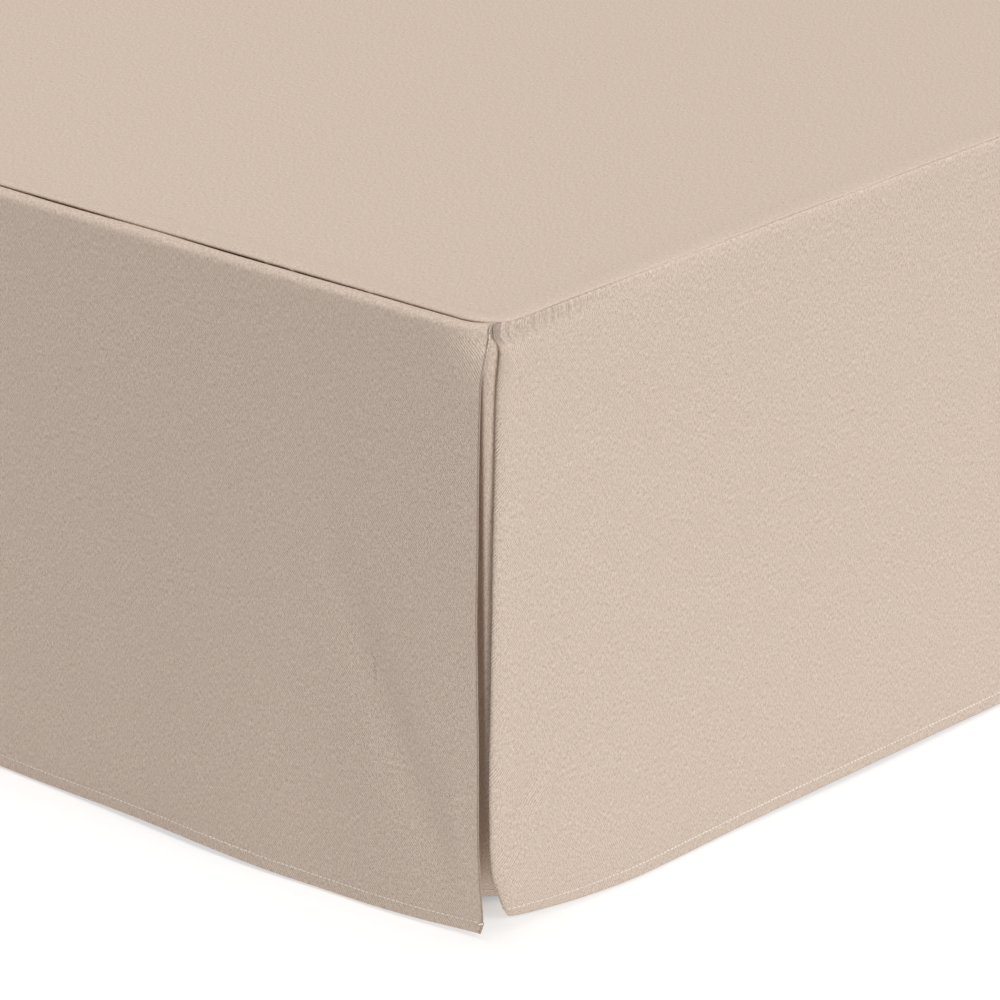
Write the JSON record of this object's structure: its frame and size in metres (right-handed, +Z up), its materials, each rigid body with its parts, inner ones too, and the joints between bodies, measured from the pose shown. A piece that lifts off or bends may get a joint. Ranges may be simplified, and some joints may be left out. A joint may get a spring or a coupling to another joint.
{
  "type": "bed frame with fitted cover",
  "caption": "Low bed frame under a fitted cotton cover: flat top panel, straight floor-length skirts and an inverted pleat with an underlay at each corner.",
  "frame": {"origin": "on the floor, under the middle of the bed", "axes": "+Z up, the bed's length along Y with the foot end at -Y, its width along X"},
  "size_m": [1.3642, 1.914, 0.351],
  "materials": {
    "cover_cloth": "matt sand-beige cotton twill",
    "underlay_cloth": "matt sand-beige cotton twill",
    "deck_wood": "planed pine, satin",
    "leg_wood": "planed pine, satin"
  },
  "bodies": {
    "root": {"top_panel": "cover_cloth", "skirt_foot": "cover_cloth", "skirt_head": "cover_cloth", "skirt_right": "cover_cloth", "skirt_left": "cover_cloth", "underlay_foot_right": "underlay_cloth", "underlay_head_right": "underlay_cloth", "underlay_head_left": "underlay_cloth", "underlay_foot_left": "underlay_cloth", "deck": "deck_wood", "leg_foot_left": "leg_wood", "leg_foot_right": "leg_wood", "leg_middle_left": "leg_wood", "leg_middle_right": "leg_wood", "leg_head_left": "leg_wood", "leg_head_right": "leg_wood"}
  },
  "joints": []
}
